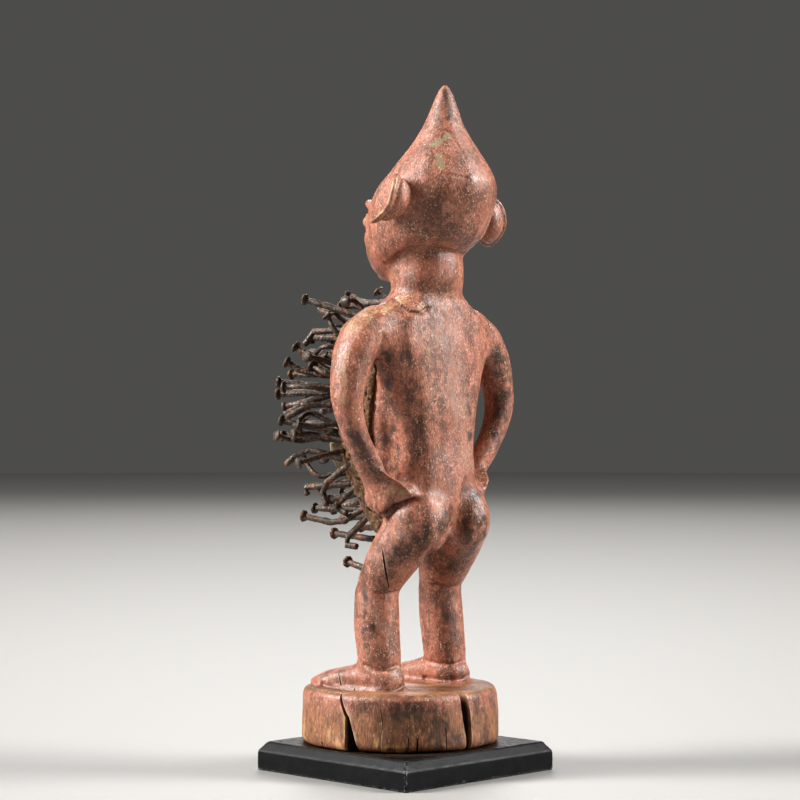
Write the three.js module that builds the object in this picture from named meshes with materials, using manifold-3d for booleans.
// A standing power figure carved from one block of wood: a naked man with a pointed cap, hands on
// his hips, knees bent, on a low round base that belongs to the same block. A crust of resin and
// earth covers his chest and belly, a round medicine box stands out of it, and iron nails are driven
// into them. The wooden base stands on a separate bevelled plinth.
//
// Millimetres, +Z up. The origin is the middle of the plinth's underside. He faces -Y, and his left
// hand is on the +X side.
import * as THREE from 'three';
import { mergeVertices } from 'three/addons/utils/BufferGeometryUtils.js';
import Module from 'manifold-3d';

const wasm = await Module();
wasm.setup();

// Round base, one piece with the figure
const BASE_RADIUS = 83;
const BASE_HEIGHT = 47;
const BASE_TAPER = 2; // how much less the radius is at the top
const BASE_ROUND = 6;
const BASE_SHIFT = -6; // its middle stands a little in front of the plinth's

// Plinth, made to the base's size
const PLINTH_MARGIN = 5; // how far it reaches past the base
const PLINTH_SIDE = 2 * (BASE_RADIUS + PLINTH_MARGIN);
const PLINTH_HEIGHT = 24;
const PLINTH_BEVEL_DROP = 8;
const PLINTH_BEVEL_INSET = 6;

// Figure, from its soles to the tip of its cap
const FIGURE_HEIGHT = 500;

// Nails
const SHAFT_RADIUS = 2.4;
const HEAD_RADIUS = 4.9;
const HEAD_THICKNESS = 2;
const HEAD_TAPER = 0.85; // radius of the head's underside, as a share of its top's
const BEND_TENSION = 0.35; // how round the bends are
const NAIL_BITE = 7; // how far a nail's root is sunk
const NAIL_GAP = 1; // least clear space between two nails

// Medicine box
const BOX_RADIUS = 27;
const BOX_REACH = 21; // how far it stands out of the crust
const BOX_SEAT = 9; // how far it is sunk into the crust
const BOX_ROUND = 5;
const BOX_DOME = 3; // how far the lid swells in its middle

// Clear space left between two pieces that touch
const FIT = 0.3;

const SOLE = PLINTH_HEIGHT + FIT + BASE_HEIGHT;

// The carving's proportions are counted in five-hundredths of the figure's height, up from its
// soles. UNIT turns them into millimetres.
const UNIT = FIGURE_HEIGHT / 500;

const wood = new THREE.MeshStandardMaterial({ color: 0x8a4a3c, roughness: 0.55, metalness: 0 });
const black = new THREE.MeshStandardMaterial({ color: 0x1c1c1e, roughness: 0.45, metalness: 0 });
const resin = new THREE.MeshStandardMaterial({ color: 0x9a7a58, roughness: 0.95, metalness: 0 });
const iron = new THREE.MeshStandardMaterial({ color: 0x5a4a40, roughness: 0.7, metalness: 0.6 });

// A closed three.js geometry as a solid, and back again
function solid(geometry) {
  const bare = new THREE.BufferGeometry();
  bare.setAttribute('position', geometry.getAttribute('position').clone());
  if (geometry.index) bare.setIndex(geometry.index.clone());
  const welded = mergeVertices(bare, 1e-3);
  return new wasm.Manifold(new wasm.Mesh({
    numProp: 3,
    vertProperties: new Float32Array(welded.getAttribute('position').array),
    triVerts: new Uint32Array(welded.index.array),
  }));
}

function geometryOf(shape) {
  const mesh = shape.getMesh();
  const geometry = new THREE.BufferGeometry();
  geometry.setAttribute('position', new THREE.BufferAttribute(mesh.vertProperties, 3));
  geometry.setIndex(new THREE.BufferAttribute(mesh.triVerts, 1));
  geometry.computeVertexNormals();
  return geometry;
}

const join = (shapes) => shapes.reduce((sum, shape) => sum.add(shape));

// Where an end's first ring lies, as a share of the rounded end
const FIRST_RING = 0.3;

// A rounded body strung along stations of [x, y, z, half width, half depth]. It starts as a sphere
// whose rings slide along a curve through the stations. Level rings stay horizontal, and others turn
// with the curve. Blunt is the share of the length that each rounded end takes, square is the power
// of the ring's outline, where 2 is an ellipse and more is boxier, and back is how far a ring reaches
// behind its middle before it is cut off flat.
function body(stations, {
  rings = 12, sides = 14, blunt = 0.15, level = true, square = 2, back = Infinity, grow = 0,
} = {}) {
  const line = new THREE.CatmullRomCurve3(stations.map(([x, y, z]) => new THREE.Vector3(x, y, z)));
  const girth = new THREE.CatmullRomCurve3(
    stations.map(([, , , wide, deep]) => new THREE.Vector3(wide + grow, deep + grow, 0)));
  const upwards = new THREE.Vector3(0, 0, Math.sign(stations.at(-1)[2] - stations[0][2]));
  const backwards = new THREE.Vector3(0, 1, 0);
  const geometry = new THREE.SphereGeometry(1, sides, rings);
  const point = geometry.getAttribute('position');
  const spot = new THREE.Vector3();
  for (let i = 0; i < point.count; i += 1) {
    spot.fromBufferAttribute(point, i);
    const ring = Math.round(Math.acos(THREE.MathUtils.clamp(spot.y, -1, 1)) / Math.PI * rings);
    const isPole = ring === 0 || ring === rings;
    const firstRing = blunt * FIRST_RING;
    const t = isPole ? ring / rings : firstRing + (1 - 2 * firstRing) * (ring - 1) / (rings - 2);
    const turn = Math.atan2(spot.z, spot.x);
    const across = Math.cos(turn);
    const through = Math.sin(turn);
    const corner = (Math.abs(across) ** square + Math.abs(through) ** square) ** (-1 / square);
    const end = Math.min(t, 1 - t, blunt) / blunt;
    const swell = Math.sqrt(1 - (1 - end) ** 2) * corner;
    const size = girth.getPoint(t);
    const along = level ? upwards : line.getTangent(t);
    const wideAxis = new THREE.Vector3().crossVectors(backwards, along).normalize();
    const deepAxis = new THREE.Vector3().crossVectors(along, wideAxis);
    const place = line.getPoint(t)
      .addScaledVector(wideAxis, across * size.x * swell)
      .addScaledVector(deepAxis, Math.min(through * size.y * swell, back));
    point.setXYZ(i, place.x, place.y, place.z);
  }
  return geometry;
}

function ellipsoid([x, y, z], [wide, deep, high], sides = 7, rings = 5) {
  return new THREE.SphereGeometry(1, sides, rings).rotateX(Math.PI / 2)
    .scale(wide, deep, high).translate(x, y, z);
}

const mirrored = ([x, ...rest]) => [-x, ...rest];

// Both halves of a paired part, from the stations of his left one
const pair = (stations, make) => [make(stations), make(stations.map(mirrored))];

// Back, from the seat to the shoulders: [x, y, height, half width, half depth]
const BACK = [
  [0, 36, 128, 30, 20],
  [0, 35, 142, 40, 24],
  [0, 34, 160, 41, 26],
  [0, 33, 178, 39.5, 26],
  [0, 31, 199, 40, 26],
  [0, 31, 222, 42, 27],
  [0, 30, 246, 48, 27],
  [0, 28.5, 268, 57, 27.5],
  [0, 27, 286, 66, 28],
  [0, 24.5, 302, 63, 29],
  [0, 23, 314, 50, 28],
  [0, 24, 326, 34, 29],
  [0, 25, 336, 29, 29],
];

// Chest and belly
const FRONT = [
  [0, 22, 122, 20, 18],
  [0, 16, 142, 31, 24],
  [0, 9, 165, 38, 35],
  [0, 5, 190, 45, 41],
  [0, 4, 214, 50, 43],
  [0, 4, 238, 50, 41],
  [0, 7, 262, 46, 35],
  [0, 10, 284, 42, 29],
  [0, 14, 304, 36, 22],
  [0, 18, 318, 26, 16],
];

// Crust of resin and earth over the chest, belly and loins
const CRUST = [
  [0, 6, 112, 20, 12],
  [0, 3, 124, 27, 18],
  [0, -2, 142, 34, 25],
  [0, -5, 166, 43, 35],
  [0, -4, 190, 50, 44],
  [0, -3, 214, 54, 48],
  [0, -1, 240, 54, 47],
  [0, 1, 265, 50, 41],
  [0, 4, 286, 44, 34],
  [0, 7, 304, 36, 28],
  [0, 9, 316, 27, 19],
];
const CRUST_BACK = 12; // how far it reaches behind its middle, round the flanks
const CRUST_SQUARE = 2.6; // how boxy its outline is, seen from above

const SEAT = [
  [22, 38, 106, 20, 20],
  [23.5, 38.5, 122, 27, 26],
  [24, 37.5, 142, 29, 29],
  [22.5, 34, 160, 26, 28],
  [19, 32, 178, 21, 24],
];

const NECK = [
  [0, 24, 312, 42, 27],
  [0, 26, 332, 33, 31],
  [0, 25.5, 344, 31, 31],
  [0, 25, 362, 31, 31],
  [0, 26, 384, 30, 30],
];

// Head with its jaw, skull and the cap's long point
const HEAD = [
  [0, -3, 336, 15, 12],
  [0, 1, 345, 27, 26],
  [0, 8, 356, 38, 37],
  [0, 14, 364, 43, 43],
  [0, 20, 370, 45.5, 51],
  [0, 24.5, 380, 47.5, 54.5],
  [0, 27, 389, 48.5, 55.3],
  [0, 31, 399, 50, 56.5],
  [0, 35, 409, 49.5, 56],
  [0, 38, 418, 47, 51.5],
  [0, 41, 426, 43, 45.8],
  [0, 42.3, 434, 37.5, 39.5],
  [0, 43.3, 443, 32, 33],
  [0, 44.4, 457, 22, 22],
  [0, 45.3, 471, 15, 15],
  [0, 46.3, 486, 9.8, 9.8],
  [0, 46.6, 500, 7.5, 7.5],
];

const THIGH = [
  [23, 38, 156, 19, 19],
  [25.5, 36.5, 139, 27, 27.5],
  [29, 27, 121, 27, 28],
  [32.5, 17, 104, 24.5, 25],
  [36, 8, 88, 20.5, 22],
  [37.5, 4, 70, 18, 18.5],
];

const SHIN = [
  [34, 6, 106, 16, 16],
  [36.5, 3.5, 92, 18, 18.5],
  [38, 4, 74, 19, 19.5],
  [38.5, 5, 54, 19.5, 20],
  [39, 7.5, 34, 19, 19.5],
  [39, 9.5, 14, 18.5, 18.5],
  [39, 10, -10, 18.5, 18.5],
];

// Foot, from the heel forwards to the toes: [x, height, forward, half width, half height]
const FOOT = [
  [39, 8, -33, 17, 11],
  [39, 10, -16, 18.5, 14],
  [40, 10, 6, 18, 13],
  [42, 7, 28, 20, 10],
  [43, 5, 46, 19.5, 8],
  [43, 3.5, 57, 17, 6.5],
];

const ARM = [
  [14, 22, 300, 14, 17],
  [32, 21, 300, 19, 22],
  [51, 19.5, 297, 22, 25],
  [68, 20, 290, 20, 22.5],
  [80, 20.5, 276, 17.5, 20],
  [87, 22, 259, 15.5, 17],
  [90.5, 23.5, 240, 13.5, 14.5],
  [89, 24.5, 228, 12.5, 13],
  [83, 24.5, 213, 11, 12],
  [73.5, 24, 198, 11, 12],
  [62, 22, 183, 11, 13],
  [55, 20, 172, 9, 14],
  [53, 20, 162, 8, 13],
];

// Hand, laid on the hip with the fingers backwards: [x, height, forward, half thickness, half height]
const HAND = [
  [54, 160, -6, 5, 11],
  [54, 161, -16, 7.5, 17],
  [50, 163, -30, 7.5, 14],
  [45, 164, -42, 7, 10],
  [39, 163, -54, 5, 5],
];

// Ears: cupped shells that open forwards, turned so that the rim stands out backwards and the lobe
// points to the jaw
const EAR_PLACE = [55, 43, 401];
const EAR_SIZE = [17, 9, 25];
const EAR_TILT = THREE.MathUtils.degToRad(35);
const EAR_TURN = THREE.MathUtils.degToRad(28);
const RIGHT_EAR_DROP = 7; // his right ear is carved lower

function ear() {
  const [wide, deep, high] = EAR_SIZE;
  const shell = solid(ellipsoid([0, 0, 0], [wide, deep, high], 9, 6));
  const hollow = solid(ellipsoid([wide * 0.35, -deep * 0.8, 0], [wide * 0.85, deep, high * 0.8], 7, 5));
  return geometryOf(shell.subtract(hollow)).rotateX(-EAR_TILT).rotateZ(EAR_TURN).translate(...EAR_PLACE);
}

// A mirrored copy has its triangles turned the right way again
function mirroredCopy(geometry) {
  const copy = geometry.clone().scale(-1, 1, 1);
  copy.setIndex([...copy.index.array].reverse());
  return copy;
}

const BROW = [[-34, -4, 397, 4, 4], [-18, -20, 402, 4, 4], [0, -25, 400, 4, 4], [18, -20, 402, 4, 4],
  [34, -4, 397, 4, 4]];
const NOSE = [[0, -26, 402, 4, 4], [0, -29, 393, 4.5, 6], [0, -31, 383, 7, 8], [0, -31, 376, 9, 7]];

function face() {
  const parts = [
    body(NOSE, { rings: 6, sides: 8, blunt: 0.3 }),
    body(BROW, { rings: 9, sides: 6, level: false, blunt: 0.15 }),
    ellipsoid([0, -26, 363.5], [15, 8, 4]),
    ellipsoid([0, -24, 355], [13, 8, 4]),
    ellipsoid([0, -14, 345.5], [16, 11, 8]),
  ];
  for (const side of [-1, 1]) {
    parts.push(ellipsoid([side * 18, -20, 388], [11, 6.5, 6]));
  }
  return parts;
}

// Everything that is carved above the base. Grow thickens the body by the clearance that a piece
// laid against it keeps.
function carving(grow = 0) {
  const parts = [
    body(BACK, { rings: 11, sides: 14, blunt: 0.06, square: 2.6, grow }),
    body(FRONT, { rings: 8, sides: 13, blunt: 0.1, grow }),
    body(NECK, { rings: 5, sides: 12, blunt: 0.05, grow }),
    body(HEAD, { rings: 17, sides: 14, blunt: 0.04, grow }),
    ...face(),
    ...pair(SEAT, (s) => body(s, { rings: 6, sides: 10, blunt: 0.35, grow })),
    ...pair(THIGH, (s) => body(s, { rings: 7, sides: 11, blunt: 0.22, grow })),
    ...pair(SHIN, (s) => body(s, { rings: 6, sides: 11, blunt: 0.05, grow })),
    ...pair(FOOT, (s) => body(s, { rings: 7, sides: 10, blunt: 0.16 }).rotateX(Math.PI / 2)),
    ...pair(ARM, (s) => body(s, { rings: 14, sides: 9, level: false, blunt: 0.05, grow })),
    ...pair(HAND, (s) => body(s, { rings: 6, sides: 8, blunt: 0.25 }).rotateX(Math.PI / 2)),
    ear(),
    mirroredCopy(ear()).translate(0, 0, -RIGHT_EAR_DROP),
  ];
  return join(parts.map((part) => solid(part.scale(UNIT, UNIT, UNIT).translate(0, 0, SOLE))));
}

// The round base, turned with a rounded upper edge
function base() {
  const bottom = PLINTH_HEIGHT + FIT;
  const topRadius = BASE_RADIUS - BASE_TAPER;
  const steps = 2;
  const profile = [new THREE.Vector2(0, bottom), new THREE.Vector2(BASE_RADIUS, bottom)];
  for (let step = 0; step <= steps; step += 1) {
    const turn = (step / steps) * (Math.PI / 2);
    profile.push(new THREE.Vector2(
      topRadius - BASE_ROUND * (1 - Math.cos(turn)), SOLE - BASE_ROUND * (1 - Math.sin(turn))));
  }
  profile.push(new THREE.Vector2(0, SOLE));
  return new THREE.LatheGeometry(profile, 28).rotateX(Math.PI / 2).translate(0, BASE_SHIFT, 0);
}

// Drying cracks in the base: [degrees round from his back towards his left, width at the rim below,
// width at the rim above, depth]
const CRACKS = [
  [75, 12, 1.5, 46],
  [6, 7, 6, 44],
];

// A wedge that is widest at the rim and closes towards the heart of the log
function crack([turn, below, above, depth]) {
  const heart = 0.4;
  const overhang = 5;
  const height = BASE_HEIGHT + overhang;
  const geometry = new THREE.BoxGeometry(1, depth + overhang, height);
  const point = geometry.getAttribute('position');
  for (let i = 0; i < point.count; i += 1) {
    const rim = point.getZ(i) > 0 ? above : below;
    point.setX(i, point.getX(i) * (point.getY(i) > 0 ? rim : heart));
  }
  const reach = BASE_RADIUS - depth + (depth + overhang) / 2;
  return solid(geometry.translate(0, reach, PLINTH_HEIGHT + height / 2 - overhang / 2)
    .rotateZ(-THREE.MathUtils.degToRad(turn)).translate(0, BASE_SHIFT, 0));
}

// The crust's ring at a height: its middle, half width and half depth, all in carving units
function crustAt(height) {
  const level = THREE.MathUtils.clamp(height, CRUST[0][2], CRUST.at(-1)[2]);
  const above = Math.max(1, CRUST.findIndex((station) => station[2] >= level));
  const upper = CRUST[above];
  const lower = CRUST[above - 1];
  const share = (level - lower[2]) / (upper[2] - lower[2]);
  const [, y, , wide, deep] = lower.map((value, i) => value + (upper[i] - value) * share);
  return { y, wide, deep };
}

// The front of the crust at a place across the body and at a height
function crustFront(x, height) {
  const { y, wide, deep } = crustAt(height);
  const reach = Math.max(0, 1 - Math.abs(x / wide) ** CRUST_SQUARE);
  return y - deep * reach ** (1 / CRUST_SQUARE);
}

// Nails that show from behind, past his left arm. Each has its place across the body, its turn
// towards his left in degrees, then the distance out and the height of its root, of each bend and of
// its end, and lastly whether it still has its head.
const SEEN_NAILS = [
  [12, 0, [[0, 321], [52, 322], [48, 332]], false],
  [12, 3, [[0, 296], [65, 317]], false],
  [32, 17, [[0, 297], [48, 297], [58, 286]], false],
  [34, 22, [[0, 253], [46, 284]], true],
  [10, 5, [[0, 272], [64, 281]], false],
  [40, 33, [[0, 258], [35, 263], [50, 271]], true],
  [26, 18, [[0, 261], [58, 261]], true],
  [43, 36, [[0, 249], [54, 254]], true],
  [34, 28, [[0, 242], [26, 245], [57, 244]], true],
  [18, 12, [[0, 247], [62, 247]], false],
  [40, 38, [[0, 245], [21, 240], [48, 227]], false],
  [24, 20, [[0, 248], [61, 233]], true],
  [44, 40, [[0, 235], [23, 235], [44, 225]], false],
  [12, 8, [[0, 236], [61, 224]], false],
  [43, 34, [[0, 212], [48, 222]], true],
  [27, 9, [[0, 220], [41, 219]], true],
  [38, 30, [[0, 206], [49, 209]], true],
  [44, 30, [[0, 190], [31, 197], [49, 185]], false],
  [32, 17, [[0, 169], [19, 167], [44, 165], [41, 159]], false],
  [46, 8, [[0, 184], [25, 167], [22, 151]], false],
  [22, 4, [[0, 172], [37, 164]], true],
  [38, 0, [[0, 164], [15, 154], [19, 149], [7, 144]], false],
  [16, 0, [[0, 161], [38, 154]], true],
  [20, 12, [[0, 147], [52, 147]], true],
  [30, 20, [[0, 148], [21, 136], [54, 141]], true],
  [26, 10, [[0, 140], [24, 119], [10, 116]], false],
  [14, 0, [[0, 121], [60, 125]], true],
  [30, 0, [[11, 95], [44, 103]], true],
];

// The rest of the crust is nailed over by a seeded loop. Nails fan out with the roundness of the
// body, and each wanders a little from that. Places and lengths are in carving units.
const NAIL_COUNT = 48;
const NAIL_TRIES = 4000;
const NAIL_HEIGHTS = [122, 312];
const NAIL_EDGE = 0.84; // how near the crust's edge a nail may be, as a share of its half width
const NAIL_LENGTH = [42, 64];
const NAIL_FAN = 0.85; // degrees of turn for each unit across
const NAIL_RISE = 0.12; // degrees of lift for each unit above the middle of the field
const NAIL_WANDER = [-9, 9]; // degrees
const BENT_SHARE = 0.4; // of all nails
const BEND_PLACE = 0.55; // along the nail
const BEND_DEPTH = [-0.11, 0.11]; // of the nail's length
const HEADED_SHARE = 0.75; // of all nails
const ROOT_SPACING = 13;
const BOX_LEVEL = 200;
const BOX_MARGIN = 7; // clear of nails round the medicine box

let seed = 7;
function random() {
  seed = (seed * 16807) % 2147483647;
  return seed / 2147483647;
}
const between = ([low, high]) => low + (high - low) * random();

// A nail's centre line in carving units, from its root in the crust outwards
function nailLine([x, turn, points]) {
  const bearing = THREE.MathUtils.degToRad(turn);
  const way = new THREE.Vector3(Math.sin(bearing), -Math.cos(bearing), 0);
  const root = new THREE.Vector3(x, crustFront(x, points[0][1]), 0);
  return points.map(([out, height]) => root.clone().addScaledVector(way, out).setZ(height));
}

// Least distance between two centre lines, taken at even steps along both
function clearance(line, other) {
  const steps = 12;
  const spots = (points) => points.slice(1).flatMap((end, i) => Array.from(
    { length: steps + 1 }, (_, k) => points[i].clone().lerp(end, k / steps)));
  const others = spots(other);
  return Math.min(...spots(line).map((spot) => Math.min(...others.map((o) => o.distanceTo(spot)))));
}

function fits(line, headed, placed) {
  const [root] = line;
  const boxRadius = BOX_RADIUS / UNIT + BOX_MARGIN;
  const crossesBox = line.some((spot) => Math.hypot(spot.x, spot.z - BOX_LEVEL) < boxRadius);
  const onCrust = Math.abs(root.x) < NAIL_EDGE * crustAt(root.z).wide;
  const nearest = Math.min(...placed.map(([other]) => clearance(line, other)));
  const rootGap = Math.min(...placed.map(([other]) => other[0].distanceTo(root)));
  const girths = headed ? HEAD_RADIUS + SHAFT_RADIUS : 2 * SHAFT_RADIUS;
  return onCrust && !crossesBox && nearest * UNIT > girths + NAIL_GAP && rootGap > ROOT_SPACING;
}

// Every nail's centre line in millimetres, and whether it has its head
function nails() {
  const [low, high] = NAIL_HEIGHTS;
  const side = Math.max(...CRUST.map(([, , , wide]) => wide));
  const placed = SEEN_NAILS.map((nail) => [nailLine(nail), nail[3]]);
  for (let attempt = 0; attempt < NAIL_TRIES && placed.length < NAIL_COUNT; attempt += 1) {
    const x = between([-side, side]);
    const height = between(NAIL_HEIGHTS);
    const turn = x * NAIL_FAN + between(NAIL_WANDER);
    const lift = (height - (low + high) / 2) * NAIL_RISE + between(NAIL_WANDER);
    const slope = Math.tan(THREE.MathUtils.degToRad(lift));
    const length = between(NAIL_LENGTH);
    const bend = random() < BENT_SHARE ? between(BEND_DEPTH) : 0;
    const points = [[0, height], [length, height + slope * length]];
    if (bend) points.splice(1, 0, [length * BEND_PLACE, height + (slope * BEND_PLACE - bend) * length]);
    const headed = random() < HEADED_SHARE;
    const line = nailLine([x, turn, points]);
    if (fits(line, headed, placed)) placed.push([line, headed]);
  }
  const sole = new THREE.Vector3(0, 0, SOLE);
  return placed.map(([line, headed]) => [line.map((spot) => spot.multiplyScalar(UNIT).add(sole)), headed]);
}

// A rod with five sides along a centre line
function rod(points, radius) {
  const sides = 5;
  const section = new THREE.Shape(Array.from({ length: sides }, (_, i) => new THREE.Vector2(
    radius * Math.cos((i / sides) * 2 * Math.PI), radius * Math.sin((i / sides) * 2 * Math.PI))));
  const straight = points.length === 2;
  const extrudePath = straight ? new THREE.LineCurve3(...points)
    : new THREE.CatmullRomCurve3(points, false, 'catmullrom', BEND_TENSION);
  const steps = straight ? 1 : 2 * points.length - 1;
  return solid(new THREE.ExtrudeGeometry(section, { steps, extrudePath, bevelEnabled: false }));
}

// A nail's shaft, from its buried root to its end. Grown by the clearance, it is the hole's cutter.
function shaft(points, grow = 0) {
  const [root, next] = points;
  const inwards = root.clone().sub(next).normalize();
  return rod([root.clone().addScaledVector(inwards, NAIL_BITE + grow), ...points.slice(1)],
    SHAFT_RADIUS + grow);
}

function nail([points, headed]) {
  if (!headed) return shaft(points);
  const end = points.at(-1);
  const outwards = end.clone().sub(points.at(-2)).normalize();
  const head = new THREE.CylinderGeometry(HEAD_RADIUS, HEAD_RADIUS * HEAD_TAPER, HEAD_THICKNESS, 7)
    .applyQuaternion(new THREE.Quaternion().setFromUnitVectors(new THREE.Vector3(0, 1, 0), outwards))
    .translate(...end);
  return shaft(points).add(solid(head));
}

// The medicine box: a round lump with a rounded rim and a slightly domed lid
function box(grow = 0) {
  const front = crustFront(0, BOX_LEVEL) * UNIT;
  const radius = BOX_RADIUS + grow;
  const length = BOX_SEAT + BOX_REACH + grow;
  const rim = length - BOX_DOME;
  const steps = 2;
  const profile = [new THREE.Vector2(0, 0), new THREE.Vector2(radius, 0)];
  for (let step = 0; step <= steps; step += 1) {
    const turn = (step / steps) * (Math.PI / 2);
    profile.push(new THREE.Vector2(
      radius - BOX_ROUND * (1 - Math.cos(turn)), rim - BOX_ROUND * (1 - Math.sin(turn))));
  }
  profile.push(new THREE.Vector2(radius / 2, length - BOX_DOME / 4), new THREE.Vector2(0, length));
  return solid(new THREE.LatheGeometry(profile, 16).rotateX(Math.PI)
    .translate(0, front + BOX_SEAT + grow, SOLE + BOX_LEVEL * UNIT));
}

// The plinth: a square slab whose upper edges are bevelled
function plinth() {
  const geometry = new THREE.BoxGeometry(PLINTH_SIDE, PLINTH_SIDE, PLINTH_HEIGHT, 1, 1, 2);
  const point = geometry.getAttribute('position');
  const half = PLINTH_SIDE / 2;
  const heights = [0, PLINTH_HEIGHT - PLINTH_BEVEL_DROP, PLINTH_HEIGHT];
  for (let i = 0; i < point.count; i += 1) {
    const level = Math.round(point.getZ(i) / (PLINTH_HEIGHT / 2)) + 1;
    const inset = level === 2 ? (half - PLINTH_BEVEL_INSET) / half : 1;
    point.setXYZ(i, point.getX(i) * inset, point.getY(i) * inset, heights[level]);
  }
  return geometry;
}

const driven = nails();
const holes = join(driven.map(([points]) => shaft(points, FIT)));
const grown = carving(FIT);
const figure = join([solid(base()), carving()]).subtract(join(CRACKS.map(crack))).subtract(holes);
const lump = solid(body(CRUST, {
  rings: 10, sides: 14, blunt: 0.08, square: CRUST_SQUARE, back: CRUST_BACK,
}).scale(UNIT, UNIT, UNIT).translate(0, 0, SOLE));
const crust = lump.subtract(grown).subtract(box(FIT)).subtract(holes);

const group = new THREE.Group();
function piece(name, shape, material) {
  const mesh = new THREE.Mesh(geometryOf(shape), material);
  mesh.name = name;
  group.add(mesh);
}

piece('figure', figure, wood);
piece('plinth', solid(plinth()), black);
piece('medicine_crust', crust, resin);
piece('medicine_box', box(), resin);
driven.forEach((each, i) => piece(`nail_${String(i + 1).padStart(2, '0')}`, nail(each), iron));

export default group;
